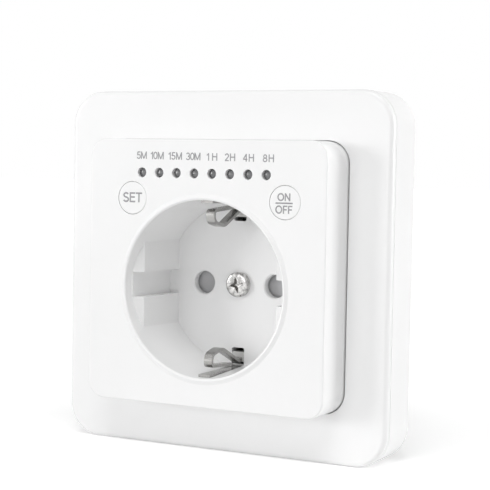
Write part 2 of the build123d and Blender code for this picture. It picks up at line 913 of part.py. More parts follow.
def make_earth_bracket():
    middle = chamber_level - strap_thickness / 2
    reach = arm_radius + strap_thickness / 2
    end = front_level - channel_start - fit
    points = [
        (0, -end, socket_z + reach),
        (0, -middle, socket_z + reach),
        (0, -middle, socket_z - reach),
        (0, -end, socket_z - reach),
    ]
    strap = strip(points, strap_bend, arm_width, strap_thickness)
    widened = 2 * (arm_radius - strap_bend)
    strap += block(strap_width, widened, 0, socket_z, strap_back_level, chamber_level)
    strap += disc(strap_eye, 0, socket_z, strap_back_level, chamber_level)
    strap += earth_ear(0, chamber_level) + earth_tab(0, power_board_back_level, chamber_level)
    strap -= disc(bush_neck + fit, 0, socket_z, strap_back_level - overrun, chamber_level + overrun)
    for x, z in strap_screws_at:
        strap -= disc(strap_screw_radius + fit, x, z, strap_back_level - overrun, chamber_level + overrun)
    return strap


def make_earth_clip(side):
    """A spring clip: pad on the strap, riser, shelf in the window, crest, nose and free tail."""
    pad_level = chamber_level + clip_thickness / 2
    shelf_level = floor_level - clip_shelf_drop
    tip_level = front_level - clip_front

    def spot(level, inset):
        return (0, -level, socket_z + side * (socket_radius - inset))

    points = [
        spot(pad_level, clip_pad_inset),
        spot(pad_level, clip_riser_inset),
        spot(shelf_level, clip_riser_inset),
        spot(shelf_level, clip_root_inset),
        spot(floor_level + clip_crest_rise, clip_crest_inset),
        spot(tip_level, clip_nose_inset),
        spot(tip_level, clip_heel_inset),
        spot(floor_level + clip_tail_rise, clip_tail_inset),
    ]
    bends = [clip_pad_bend, clip_pad_bend, clip_root_bend, clip_crest_bend, clip_nose_bend, clip_heel_bend]
    return strip(points, bends, clip_width, clip_thickness)


def make_cover_bush():
    back = strap_back_level - bush_flange_thickness
    bush = disc(bush_flange, 0, socket_z, back, strap_back_level)
    bush += disc(bush_neck, 0, socket_z, back, floor_back_level)
    return bush - disc(cover_screw_radius + screw_fit, 0, socket_z, back - overrun, floor_back_level + overrun)


def strap_screw(x, z):
    return pan_screw(
        x, z, chamber_level, strap_screw_head, strap_screw_head_height,
        strap_screw_radius, strap_screw_length
    )


def make_contact(side):
    """A two-leaf spring contact for one plug pin, with its solder tail."""
    x = side * pin_spacing / 2
    mouth_level = pocket_level - contact_thickness
    back = base_back_level + contact_thickness
    waist_level = mouth_level - (mouth_level - back) / 4
    belly_level = back + (mouth_level - back) / 4

    def half(sign):
        return [
            (x, -mouth_level, socket_z + sign * contact_mouth),
            (x, -waist_level, socket_z + sign * contact_waist),
            (x, -belly_level, socket_z + sign * contact_belly),
            (x, -back, socket_z + sign * contact_belly),
        ]

    points = half(1) + half(-1)[::-1]
    contact = strip(points, contact_bend, contact_width, contact_thickness)
    return contact + block(
        contact_tail_width, contact_thickness, x, socket_z, power_board_back_level, back
    )


# Power board and what it carries

def make_power_board():
    board = slab(base_outline(power_board_inset), power_board_back_level, power_board_level)
    low = power_board_back_level - overrun
    high = power_board_level + overrun
    for x, z in housing_screws_at:
        board -= disc(column_radius + power_board_notch_gap, x, z, low, high)
        outer = x + column_radius if x > 0 else x - column_radius
        board -= block(2 * column_radius, 2 * (column_radius + power_board_notch_gap), outer, z, low, high)
    for side in (-1, 1):
        x = side * pin_spacing / 2
        board -= block(
            contact_tail_width + 2 * fit, contact_thickness + 2 * fit, x, socket_z, low, high
        )
    return board - earth_tab(fit, low, high)


def make_relay():
    back = power_board_back_level - relay_height
    body = block(relay_length, relay_width, 0, relay_z, back, power_board_back_level)
    return fillet(body.edges().filter_by(Axis.Y) + body.edges().group_by(Axis.Y)[-1], relay_round)


def make_film_capacitor():
    back = power_board_back_level - film_height
    body = block(film_length, film_width, film_x, film_z, back, power_board_back_level)
    return fillet(body.edges().filter_by(Axis.Y) + body.edges().group_by(Axis.Y)[-1], film_round)


def make_smoothing_capacitor():
    back = power_board_back_level - can_height
    can = disc(can_radius, can_x, can_z, back, power_board_back_level)
    can = fillet(can.edges().filter_by(GeomType.CIRCLE).sort_by(Axis.Y)[-1], can_bead)
    bead_level = power_board_back_level - can_bead_height
    ring = Circle(can_radius + overrun) - Circle(can_radius - can_bead)
    return can - slab(Pos(can_x, can_z) * ring, bead_level - can_bead, bead_level)


def make_varistor():
    centre = power_board_back_level - varistor_lift - varistor_radius
    facing = Plane((varistor_x, -centre, varistor_z - varistor_thickness / 2))
    body = extrude(facing * Circle(varistor_radius), amount=varistor_thickness)
    body = fillet(body.edges().filter_by(GeomType.CIRCLE), varistor_thickness / 4)
    for step in (-varistor_lead_spacing / 2, varistor_lead_spacing / 2):
        x = varistor_x + step
        body += disc(varistor_lead_radius, x, varistor_z, centre, power_board_back_level)
    return body


def make_fuse():
    radius = fuse_radius + fuse_cap_step
    level = power_board_back_level - radius
    start = fuse_x - fuse_length / 2
    tube_plane = Plane((start, -level, fuse_z), x_dir=(0, 1, 0), z_dir=(1, 0, 0))
    fuse = extrude(tube_plane * Circle(fuse_radius), amount=fuse_length)
    for x in (start, start + fuse_length - fuse_cap_length):
        cap_plane = Plane((x, -level, fuse_z), x_dir=(0, 1, 0), z_dir=(1, 0, 0))
        fuse += extrude(cap_plane * Circle(radius), amount=fuse_cap_length)
    return fuse


# Terminals

def clamp_cut(x, allowance):
    """The space of one wire clamp in the terminal block."""
    height = terminal_height - terminal_floor - terminal_screw_recess
    z = terminal_z - terminal_height / 2 + terminal_floor + height / 2
    front = power_board_back_level - terminal_floor
    back = housing_inner_level + terminal_floor
    wide = clamp_width + 2 * allowance
    return block(wide, height + 2 * allowance, x, z, back - allowance, front)


def make_terminal_block():
    body = block(
        terminal_width, terminal_height, 0, terminal_z, housing_inner_level, power_board_back_level
    )
    body = fillet(body.edges().filter_by(Axis.Y), terminal_round)
    middle = (power_board_back_level + housing_inner_level) / 2
    top = terminal_z + terminal_height / 2
    for x in pole_places:
        body -= clamp_cut(x, clamp_gap)
        hole_z = terminal_z - wire_hole_drop
        body -= disc(wire_hole_radius, x, hole_z, housing_inner_level - overrun, middle)
        body -= along_z(terminal_screw_head + fit, x, middle, terminal_z, top + overrun)
    inside = base_outline(housing_wall + housing_clearance)
    return body & slab(inside, housing_inner_level, power_board_back_level)


def terminal_clamp(x):
    clamp = clamp_cut(x, 0)
    height = terminal_height - terminal_floor - terminal_screw_recess
    low = terminal_z - terminal_height / 2 + terminal_floor
    middle = (power_board_back_level + housing_inner_level) / 2
    opening = clamp_width - 2 * clamp_wall
    inner_height = height - 2 * clamp_wall - terminal_screw_head_height
    clamp -= block(
        opening, inner_height, x, low + clamp_wall + inner_height / 2,
        housing_inner_level, power_board_back_level
    )
    hole = terminal_screw_radius + screw_fit
    return clamp - along_z(hole, x, middle, low + clamp_wall, low + height + overrun)


def terminal_screw(x):
    height = terminal_height - terminal_floor - terminal_screw_recess
    seat = terminal_z - terminal_height / 2 + terminal_floor + height
    middle = (power_board_back_level + housing_inner_level) / 2
    tip = terminal_z
    screw = along_z(terminal_screw_radius, x, middle, tip, seat)
    head_top = seat + terminal_screw_head_height
    head = along_z(terminal_screw_head, x, middle, seat, head_top)
    head = fillet(head.edges().filter_by(GeomType.CIRCLE).sort_by(Axis.Z)[-1], terminal_screw_head_height / 4)
    slot_width = 2 * terminal_screw_head * slot_width_share
    slot_depth = terminal_screw_head_height * cross_depth_share
    slot = Pos(x, -middle, head_top) * Box(2 * terminal_screw_head, slot_width, 2 * slot_depth)
    return screw + head - slot


# Rear housing

def make_rear_housing():
    shell = slab(base_outline(0), housing_back_level, base_back_level)
    shell = fillet(shell.edges().group_by(Axis.Y)[-1], housing_edge)
    shell -= slab(base_outline(housing_wall), housing_inner_level, base_back_level + overrun)
    for x, z in housing_screws_at:
        column = disc(column_radius, x, z, housing_inner_level - housing_back / 2, base_back_level)
        shell += column & slab(base_outline(0), housing_back_level, base_back_level)
    for x, z in rear_posts_at:
        shell += disc(rear_post_radius, x, z, housing_inner_level, power_board_back_level)
    seat = housing_back_level + housing_screw_sink
    for x, z in housing_screws_at:
        shell -= disc(housing_screw_radius + fit, x, z, housing_back_level - overrun, base_back_level + overrun)
        shell -= disc(housing_screw_head + fit, x, z, housing_back_level - overrun, seat)
    middle = (power_board_back_level + housing_inner_level) / 2
    for x in pole_places:
        hole_z = terminal_z - wire_hole_drop
        shell -= disc(wire_hole_radius, x, hole_z, housing_back_level - overrun, housing_inner_level)
        shell -= along_z(access_radius, x, middle, terminal_z, base_radius + overrun)
    return shell


def housing_screw(x, z):
    seat = housing_back_level + housing_screw_sink
    length = base_back_level + housing_screw_bite - seat
    return pan_screw(
        x, z, seat, housing_screw_head, housing_screw_head_height,
        housing_screw_radius, length, facing=-1
    )


nodes = {
    "cover_frame": [make_cover_frame()],
    "front_cover": [make_front_cover()],
    "cover_screw": [make_cover_screw()],
    "set_button": [make_button(set_x)],
    "power_button": [make_button(power_x)],
    "set_plunger": [make_plunger(set_x)],
    "power_plunger": [make_plunger(power_x)],
    "switch_bodies": [switch_body(x) for x in (set_x, power_x)],
    "light_guide": [make_light_guide()],
    "status_leds": [make_led(x) for x in light_places],
    "timer_board": [make_timer_board()],
    "controller_chip": [make_controller_chip()],
    "board_screws": [board_screw(x, z) for x, z in board_posts_at],
    "link_header": [make_link_header()],
    "link_pins": [link_pin_at(x) for x in link_places],
    "link_socket": [make_link_socket()],
    "support_plate": [make_support_plate()],
    "claw_left": [make_claw(-1)],
    "claw_right": [make_claw(1)],
    "claw_screw_left": [make_claw_screw(-1)],
    "claw_screw_right": [make_claw_screw(1)],
    "plate_screws": [plate_screw(x, z) for x, z in plate_screws_at],
    "socket_base": [make_socket_base()],
    "shutter": [make_shutter()],
    "shutter_spring": [make_shutter_spring()],
    "earth_bracket": [make_earth_bracket()],
    "earth_clip_top": [make_earth_clip(1)],
    "earth_clip_bottom": [make_earth_clip(-1)],
    "cover_bush": [make_cover_bush()],
    "strap_screws": [strap_screw(x, z) for x, z in strap_screws_at],
    "line_contact": [make_contact(-1)],
    "neutral_contact": [make_contact(1)],
    "power_board": [make_power_board()],
    "relay": [make_relay()],
    "film_capacitor": [make_film_capacitor()],
    "smoothing_capacitor": [make_smoothing_capacitor()],
    "varistor": [make_varistor()],
    "fuse": [make_fuse()],
    "terminal_block": [make_terminal_block()],
    "terminal_clamps": [terminal_clamp(x) for x in pole_places],
    "terminal_screws": [terminal_screw(x) for x in pole_places],
    "rear_housing": [make_rear_housing()],
    "housing_screws": [housing_screw(x, z) for x, z in housing_screws_at],
}

os.makedirs("parts", exist_ok=True)
for name, pieces in nodes.items():
    solids = [solid for piece in pieces for solid in piece.solids()]
    export_step(Compound(children=solids), "parts/" + name + ".step")
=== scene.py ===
import json
import math

import bmesh
import bpy
from mathutils import Matrix, Vector


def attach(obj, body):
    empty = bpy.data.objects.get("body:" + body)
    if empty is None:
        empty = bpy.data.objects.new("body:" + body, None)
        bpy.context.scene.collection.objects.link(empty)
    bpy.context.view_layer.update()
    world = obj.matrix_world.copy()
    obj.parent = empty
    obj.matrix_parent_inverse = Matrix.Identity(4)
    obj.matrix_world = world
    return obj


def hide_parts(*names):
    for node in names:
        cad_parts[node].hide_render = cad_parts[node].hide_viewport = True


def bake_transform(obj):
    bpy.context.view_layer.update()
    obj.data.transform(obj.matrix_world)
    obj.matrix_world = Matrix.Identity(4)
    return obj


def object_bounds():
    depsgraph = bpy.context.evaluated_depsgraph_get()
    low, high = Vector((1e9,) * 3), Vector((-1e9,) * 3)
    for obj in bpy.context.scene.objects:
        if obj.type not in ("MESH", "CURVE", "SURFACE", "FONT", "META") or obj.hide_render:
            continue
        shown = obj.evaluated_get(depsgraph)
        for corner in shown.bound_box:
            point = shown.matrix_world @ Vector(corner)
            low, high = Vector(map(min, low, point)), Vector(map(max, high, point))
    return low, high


# Looks of the flush-mounted countdown time switch, in the frame of the solids: X right, Z up,
# -Y towards the room, origin on the wall plane. The scene is in metres. Sizes and places of pieces are
# named in millimetres, and the finishes and the stage in metres.

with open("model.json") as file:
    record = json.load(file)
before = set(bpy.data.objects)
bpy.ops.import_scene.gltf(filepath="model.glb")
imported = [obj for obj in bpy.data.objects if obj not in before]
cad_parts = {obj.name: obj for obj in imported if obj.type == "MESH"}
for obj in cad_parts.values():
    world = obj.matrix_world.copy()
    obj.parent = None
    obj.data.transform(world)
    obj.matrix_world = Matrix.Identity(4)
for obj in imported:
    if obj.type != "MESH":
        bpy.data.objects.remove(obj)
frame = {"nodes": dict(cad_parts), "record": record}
cad_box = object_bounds()
scene = bpy.context.scene
MM = 0.001
QUARTER_TURN = math.radians(90.0)

# Places that the solids give, in millimetres
FRONT_LEVEL = 22.0
SET_AT = (-18.9, 16.82)
POWER_AT = (20.44, 16.82)
LIGHT_Z = 22.77
CLAW_SCREW_X = 24.8

# Printing: each time has the X of its middle and its width, each other word its width and height,
# and offsets are from the middle of a key
INK_LIFT = 0.012
INK_DEPTH = 0.04
STROKE_STEP = 0.0004
ARC_DEGREES = 12
CLOSED_WITHIN = 0.001
TIMES = {
    "5M": (-16.52, 2.72), "10M": (-12.40, 3.52), "15M": (-7.62, 3.66), "30M": (-2.86, 3.76),
    "1H": (1.96, 2.80), "2H": (6.58, 2.66), "4H": (11.26, 2.74), "8H": (16.20, 2.74),
}
TIME_RISE = 3.82
TIME_SLOPE = -0.008
TIME_HEIGHT = 1.70
TIME_PEN = 0.26
SET_SIZE = (5.22, 2.26)
SET_PEN = 0.37
SET_OFFSET = (0.0, 0.12)
ON_SIZE = (3.12, 1.70)
OFF_SIZE = (4.14, 1.76)
SWITCH_PEN = 0.31
ON_OFFSET = (-0.27, 1.20)
OFF_OFFSET = (-0.22, -1.56)
DIVIDER = (4.2, 0.33)
DIVIDER_OFFSET = (-0.2, -0.14)

# Plug recess of the solid: its axis, wall and floor, its guide blocks with their grooves, its channels
RECESS_Z = -3.5
BORE = 20.3
BORE_TOP = -21.9
FLOOR_FRONT = -4.0
GUIDE_FLAT = 16.5
GUIDE_HALF = 10.5
GUIDE_TOP = -20.8
GUIDE_CHAMFER = 1.2
GROOVE_HALF = 2.7
CHANNEL_HALF = 1.65

# Plug recess with its moulded draft
BORE_FLOOR = 19.35
GUIDE_FRONT_FLAT = 17.2
GUIDE_LEVEL = -19.15
GUIDE_EDGE = 0.22
GUIDE_SLOPE = 0.5
GUIDE_WALL = 19.85
GROOVE_NEW_HALF = 2.93
GROOVE_FRONT_BACK = 19.6

# Copies of solids: the layer that keeps their normals, and the distances that count as one place
NORMAL_LAYER = "solid_normal"
NEAR = 0.02
MERGE = 0.0005

# Feet of the earth clips and the strap, in the windows of the recess floor: each has its span, from
# the axis of the recess outwards
FOOT_WIDTH = 3.2
FEET = {"clip_foot": (16.1, 18.5), "strap_foot": (18.95, 19.5)}
FOOT_LEVELS = (-3.74, -3.68)
FOOT_ROUND = 0.02

# Thread on the claw screws, with a ridge of a share of its pitch
THREAD_PITCH = 0.45
THREAD_RADIUS = 1.25
THREAD_START = 0.4
THREAD_END = 14.5
THREAD_STEPS = 28
RIDGE_SIDES = 4
RIDGE_SHARE = 0.3
RIDGE_SINK_SHARE = 0.12

# Finishes: how far noise spreads, scales of patterns per metre, and heights of grain in metres
NOISE_SPREAD = (0.3, 0.7)
FINE_DETAIL = 4.0
STRONG_NOISE = 0.6
CLOUD_SCALE = 60.0
MOULD_GRAIN = 0.00002
METAL_GRAIN = 0.00001
RUN_SCALE = 260.0
RUN_GAP = 0.16
RUN_SOFTNESS = 0.15
RUN_HEIGHT = 0.00003
MASK_DARK = (0.012, 0.105, 0.040, 1.0)
MASK_LIGHT = (0.014, 0.120, 0.046, 1.0)
RUN_COLOUR = (0.035, 0.210, 0.075, 1.0)
RUN_BUMP = 0.25
MASK_SCALE = 900.0
MASK_ROUGH = (0.22, 0.38)
FROST_DARK = (0.11, 0.11, 0.115)
FROST_LIGHT = (0.19, 0.19, 0.195)
FROST_CLOUD = 900.0
FROST_SCALE = 2500.0
FROST_ROUGH = (0.14, 0.30)
FROST_COAT = 0.5
FROST_COAT_ROUGH = 0.08
INK_FADE = 0.92
INK_CLOUD = 1800.0
INK_SCALE = 4000.0
INK_ROUGH = (0.45, 0.60)
WHITE = (1.0, 1.0, 1.0, 1.0)


# Shader building

def new_material(name):
    material = bpy.data.materials.new(name)
    material.use_nodes = True
    tree = material.node_tree
    shader = tree.nodes["Principled BSDF"]
    place = tree.nodes.new("ShaderNodeTexCoord")
    return material, tree, shader, place.outputs["Object"]


def noise(tree, place, scale, detail=3.0, roughness=0.5, stretch=None):
    """Noise on the object's own place, drawn out along an axis where stretch says so."""
    node = tree.nodes.new("ShaderNodeTexNoise")
    node.inputs["Scale"].default_value = scale
    node.inputs["Detail"].default_value = detail
    node.inputs["Roughness"].default_value = roughness
    if stretch is None:
        tree.links.new(place, node.inputs["Vector"])
    else:
        drawn_out = tree.nodes.new("ShaderNodeMapping")
        drawn_out.inputs["Scale"].default_value = stretch
        tree.links.new(place, drawn_out.inputs["Vector"])
        tree.links.new(drawn_out.outputs["Vector"], node.inputs["Vector"])
    return node.outputs["Fac"]


def between(tree, value, low, high):
    """Spread a noise value over a range."""
    node = tree.nodes.new("ShaderNodeMapRange")
    node.inputs["From Min"].default_value = NOISE_SPREAD[0]
    node.inputs["From Max"].default_value = NOISE_SPREAD[1]
    node.inputs["To Min"].default_value = low
    node.inputs["To Max"].default_value = high
    tree.links.new(value, node.inputs["Value"])
    return node.outputs["Result"]


def two_tone(tree, value, dark, light):
    node = tree.nodes.new("ShaderNodeMix")
    node.data_type = "RGBA"
    node.inputs["A"].default_value = (*dark, 1.0)
    node.inputs["B"].default_value = (*light, 1.0)
    tree.links.new(value, node.inputs["Factor"])
    return node.outputs["Result"]


def bumped(tree, shader, value, strength, distance):
    node = tree.nodes.new("ShaderNodeBump")
    node.inputs["Strength"].default_value = strength
    node.inputs["Distance"].default_value = distance
    tree.links.new(value, node.inputs["Height"])
    tree.links.new(node.outputs["Normal"], shader.inputs["Normal"])


def moulding(name, colour, spread, rough, grain, bump, specular=0.5):
    """Moulded plastic: a faint cloud in the colour, a grain in the gloss and in the surface."""
    material, tree, shader, place = new_material(name)
    dark = [channel * (1.0 - spread) for channel in colour]
    cloud = between(tree, noise(tree, place, CLOUD_SCALE), 0.0, 1.0)
    tree.links.new(two_tone(tree, cloud, dark, colour), shader.inputs["Base Color"])
    fine = noise(tree, place, grain, FINE_DETAIL, STRONG_NOISE)
    tree.links.new(between(tree, fine, *rough), shader.inputs["Roughness"])
    shader.inputs["Specular IOR Level"].default_value = specular
    bumped(tree, shader, fine, bump, MOULD_GRAIN)
    return material


def plated(name, colour, tarnish_and_painted_dark, rough, grain, bump, stretch, patches=350.0):
    """Plated or bare metal: drawn grain, patches of duller metal and small pits. On the darkened metals the
    patch colours are painted dark reflections, and on the screw the bright patches are painted glints.
    """
    material, tree, shader, place = new_material(name)
    shader.inputs["Metallic"].default_value = 1.0
    patch = between(tree, noise(tree, place, patches, FINE_DETAIL, STRONG_NOISE), 0.0, 1.0)
    tree.links.new(two_tone(tree, patch, tarnish_and_painted_dark, colour), shader.inputs["Base Color"])
    streaks = noise(tree, place, grain, roughness=STRONG_NOISE, stretch=stretch)
    tree.links.new(between(tree, streaks, *rough), shader.inputs["Roughness"])
    bumped(tree, shader, streaks, bump, METAL_GRAIN)
    return material


def board_mask(name):
    """Solder mask with copper runs under it."""
    material, tree, shader, place = new_material(name)
    runs = tree.nodes.new("ShaderNodeTexBrick")
    runs.inputs["Scale"].default_value = RUN_SCALE
    runs.inputs["Mortar Size"].default_value = RUN_GAP
    runs.inputs["Mortar Smooth"].default_value = RUN_SOFTNESS
    runs.inputs["Color1"].default_value = MASK_DARK
    runs.inputs["Color2"].default_value = MASK_LIGHT
    runs.inputs["Mortar"].default_value = RUN_COLOUR
    turn = tree.nodes.new("ShaderNodeMapping")
    turn.inputs["Rotation"].default_value = (QUARTER_TURN, 0.0, 0.0)
    tree.links.new(place, turn.inputs["Vector"])
    tree.links.new(turn.outputs["Vector"], runs.inputs["Vector"])
    tree.links.new(runs.outputs["Color"], shader.inputs["Base Color"])
    fine = noise(tree, place, MASK_SCALE)
    tree.links.new(between(tree, fine, *MASK_ROUGH), shader.inputs["Roughness"])
    bumped(tree, shader, runs.outputs["Fac"], RUN_BUMP, RUN_HEIGHT)
    return material


def frosted_guide(name):
    """Frosted clear moulding, grey while the lights are off."""
    material, tree, shader, place = new_material(name)
    cloud = between(tree, noise(tree, place, FROST_CLOUD), 0.0, 1.0)
    tint = two_tone(tree, cloud, FROST_DARK, FROST_LIGHT)
    tree.links.new(tint, shader.inputs["Base Color"])
    fine = noise(tree, place, FROST_SCALE)
    tree.links.new(between(tree, fine, *FROST_ROUGH), shader.inputs["Roughness"])
    shader.inputs["Coat Weight"].default_value = FROST_COAT
    shader.inputs["Coat Roughness"].default_value = FROST_COAT_ROUGH
    return material


def ink(name, colour):
    material, tree, shader, place = new_material(name)
    dark = [channel * INK_FADE for channel in colour]
    cloud = between(tree, noise(tree, place, INK_CLOUD), 0.0, 1.0)
    tree.links.new(two_tone(tree, cloud, dark, colour), shader.inputs["Base Color"])
    fine = noise(tree, place, INK_SCALE)
    tree.links.new(between(tree, fine, *INK_ROUGH), shader.inputs["Roughness"])
    return material


gloss_white = moulding(
    "gloss_white_moulding", colour=(0.93, 0.93, 0.93), spread=0.012,
    rough=(0.20, 0.27), grain=1500.0, bump=0.03
)
cream_base = moulding(
    "matt_insulating_moulding", colour=(0.74, 0.74, 0.71), spread=0.05,
    rough=(0.45, 0.62), grain=2200.0, bump=0.25, specular=0.4
)
housing_shell = moulding(
    "matt_housing_moulding", colour=(0.78, 0.78, 0.76), spread=0.04,
    rough=(0.42, 0.58), grain=2600.0, bump=0.22, specular=0.4
)
terminal_white = moulding(
    "terminal_moulding", colour=(0.80, 0.80, 0.78), spread=0.03,
    rough=(0.38, 0.50), grain=2000.0, bump=0.12, specular=0.4
)
shutter_grey = moulding(
    "grey_shutter_moulding", colour=(0.50, 0.50, 0.51), spread=0.06,
    rough=(0.40, 0.55), grain=2200.0, bump=0.15, specular=0.4
)
switch_black = moulding(
    "black_moulding", colour=(0.018, 0.018, 0.020), spread=0.20,
    rough=(0.35, 0.52), grain=2400.0, bump=0.15, specular=0.4
)
relay_blue = moulding(
    "dark_relay_case", colour=(0.020, 0.034, 0.075), spread=0.12,
    rough=(0.30, 0.42), grain=1800.0, bump=0.08
)
film_yellow = moulding(
    "yellow_capacitor_case", colour=(0.62, 0.42, 0.045), spread=0.06,
    rough=(0.26, 0.36), grain=1500.0, bump=0.06
)
can_black = moulding(
    "capacitor_sleeve", colour=(0.016, 0.016, 0.030), spread=0.20,
    rough=(0.18, 0.28), grain=1200.0, bump=0.05
)
varistor_blue = moulding(
    "blue_dipped_coat", colour=(0.020, 0.075, 0.30), spread=0.12,
    rough=(0.16, 0.30), grain=500.0, bump=0.35
)
fuse_white = moulding(
    "fuse_ceramic", colour=(0.78, 0.76, 0.70), spread=0.04,
    rough=(0.25, 0.40), grain=1500.0, bump=0.10
)
led_resin = moulding(
    "pale_led_resin", colour=(0.78, 0.77, 0.70), spread=0.04,
    rough=(0.16, 0.24), grain=1500.0, bump=0.04
)
# Nickel painted darker than the bare metal: its low colour and dark patches are painted dark reflection, for
# contrast beside the lamps' highlights.
nickel_plate_painted_dark = plated(
    "nickel_plate_painted_dark", colour=(0.42, 0.415, 0.405), tarnish_and_painted_dark=(0.32, 0.315, 0.305),
    rough=(0.18, 0.30), grain=900.0, bump=0.10, stretch=(1.0, 6.0, 6.0)
)
# The screw's light and dark patches are painted glints and painted dark reflections.
nickel_with_painted_glints = plated(
    "nickel_with_painted_glints", colour=(0.82, 0.81, 0.80), tarnish_and_painted_dark=(0.24, 0.235, 0.23),
    rough=(0.08, 0.20), grain=1300.0, bump=1.0, stretch=(1.0, 1.0, 1.0), patches=1200.0
)
matt_nickel = plated(
    "matt_nickel", colour=(0.66, 0.66, 0.65), tarnish_and_painted_dark=(0.58, 0.58, 0.57),
    rough=(0.55, 0.70), grain=900.0, bump=0.10, stretch=(1.0, 1.0, 1.0)
)
zinc_plate = plated(
    "zinc_plate", colour=(0.62, 0.63, 0.65), tarnish_and_painted_dark=(0.50, 0.51, 0.52),
    rough=(0.28, 0.46), grain=700.0, bump=0.15, stretch=(1.0, 4.0, 6.0)
)
spring_strip = plated(
    "bare_spring_strip", colour=(0.52, 0.51, 0.50), tarnish_and_painted_dark=(0.40, 0.39, 0.38),
    rough=(0.22, 0.36), grain=900.0, bump=0.10, stretch=(1.0, 5.0, 1.0)
)
bright_brass = plated(
    "bright_brass", colour=(0.75, 0.56, 0.25), tarnish_and_painted_dark=(0.58, 0.41, 0.17),
    rough=(0.20, 0.36), grain=800.0, bump=0.10, stretch=(1.0, 5.0, 5.0)
)
green_board = board_mask("green_board")
clear_guide = frosted_guide("frosted_light_guide")
grey_ink = ink("grey_print", (0.37, 0.37, 0.38))

FINISHES = {
    "white_plastic": gloss_white,
    "clear_guide": clear_guide,
    "shutter_grey": shutter_grey,
    "base_plastic": cream_base,
    "housing_plastic": housing_shell,
    "nickel": nickel_plate_painted_dark,
    "zinc_steel": zinc_plate,
    "spring_steel": spring_strip,
    "brass": bright_brass,
    "board_green": green_board,
    "black_plastic": switch_black,
    "led_body": led_resin,
    "relay_case": relay_blue,
    "film_case": film_yellow,
    "can_sleeve": can_black,
    "varistor_coat": varistor_blue,
    "fuse_ceramic": fuse_white,
    "terminal_body": terminal_white,
}
NODE_FINISHES = {"cover_screw": nickel_with_painted_glints}

for part in frame["record"]["subparts"]:
    node = frame["nodes"][part["node"]]
    finish = NODE_FINISHES.get(part["node"], FINISHES[part["material_slot"]])
    for slot in node.material_slots:
        slot.material = finish


# Pieces that are added to the solids

def new_piece(name, mesh, material):
    mesh.materials.clear()
    mesh.materials.append(material)
    piece = bpy.data.objects.new(name, mesh)
    scene.collection.objects.link(piece)
    return piece


def settle(name, mesh, material, body):
    """Make a mesh a piece of the object that moves with a body."""
    piece = new_piece(name, mesh, material)
    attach(piece, body)
    return piece


def grown_mesh(name, data, tree, values):
    """Let a node tree grow a mesh from the data, with named values, and return it."""
    holder = bpy.data.objects.new(name, data)
    scene.collection.objects.link(holder)
    modifier = holder.modifiers.new(name, "NODES")
    modifier.node_group = tree
    for item in tree.interface.items_tree:
        if item.in_out == "INPUT" and item.name in values:
            modifier[item.identifier] = values[item.name]
    graph = bpy.context.evaluated_depsgraph_get()
    mesh = bpy.data.meshes.new_from_object(holder.evaluated_get(graph))
    holder.modifiers.clear()
    bpy.data.objects.remove(holder)
    return mesh


# Lettering, drawn with a pen: each letter has a width and strokes, for capitals of height 1

def arc(x, y, across, up, start, end):
    """Points on part of an ellipse, from one angle to another in degrees."""
    count = round(abs(end - start) / ARC_DEGREES)
    turns = [math.radians(start + (end - start) * i / count) for i in range(count + 1)]
    return [(x + across * math.cos(turn), y + up * math.sin(turn)) for turn in turns]


LETTERS = {
    "0": (0.64, [arc(0.32, 0.50, 0.255, 0.435, 0, 360)]),
    "1": (0.40, [[(0.33, 0.0), (0.33, 1.0)], [(0.05, 0.71), (0.18, 0.78), (0.27, 0.87), (0.33, 0.97)]]),
    "2": (0.64, [
        arc(0.32, 0.70, 0.245, 0.235, 170, -35) + [(0.07, 0.07)], [(0.03, 0.065), (0.61, 0.065)]
    ]),
    "3": (0.63, [arc(0.30, 0.715, 0.215, 0.22, 160, -80) + arc(0.30, 0.285, 0.25, 0.22, 80, -160)]),
    "4": (0.66, [[(0.46, 0.0), (0.46, 1.0)], [(0.46, 0.96), (0.05, 0.31)], [(0.02, 0.30), (0.64, 0.30)]]),
    "5": (0.63, [
        [(0.17, 0.935), (0.58, 0.935)], [(0.19, 0.98), (0.11, 0.49)], arc(0.31, 0.32, 0.25, 0.255, 140, -160)
    ]),
    "8": (0.64, [arc(0.32, 0.725, 0.205, 0.21, 0, 360), arc(0.32, 0.285, 0.25, 0.22, 0, 360)]),
    "E": (0.68, [
        [(0.08, 0.0), (0.08, 1.0)], [(0.08, 0.935), (0.66, 0.935)], [(0.08, 0.53), (0.62, 0.53)],
        [(0.08, 0.065), (0.68, 0.065)]
    ]),
    "F": (0.60, [[(0.08, 0.0), (0.08, 1.0)], [(0.08, 0.935), (0.60, 0.935)], [(0.08, 0.50), (0.53, 0.50)]]),
    "H": (0.79, [[(0.08, 0.0), (0.08, 1.0)], [(0.71, 0.0), (0.71, 1.0)], [(0.08, 0.53), (0.71, 0.53)]]),
    "M": (0.93, [
        [(0.08, 0.0), (0.08, 1.0)], [(0.85, 0.0), (0.85, 1.0)], [(0.09, 0.95), (0.465, 0.03)],
        [(0.84, 0.95), (0.465, 0.03)]
    ]),
    "N": (0.79, [[(0.08, 0.0), (0.08, 1.0)], [(0.71, 0.0), (0.71, 1.0)], [(0.08, 0.95), (0.71, 0.05)]]),
    "O": (0.94, [arc(0.47, 0.50, 0.40, 0.435, 0, 360)]),
    "S": (0.76, [arc(0.385, 0.725, 0.26, 0.21, 22, 240) + arc(0.375, 0.28, 0.29, 0.215, 60, -160)]),
    "T": (0.76, [[(0.0, 0.935), (0.76, 0.935)], [(0.38, 0.0), (0.38, 0.95)]]),
}


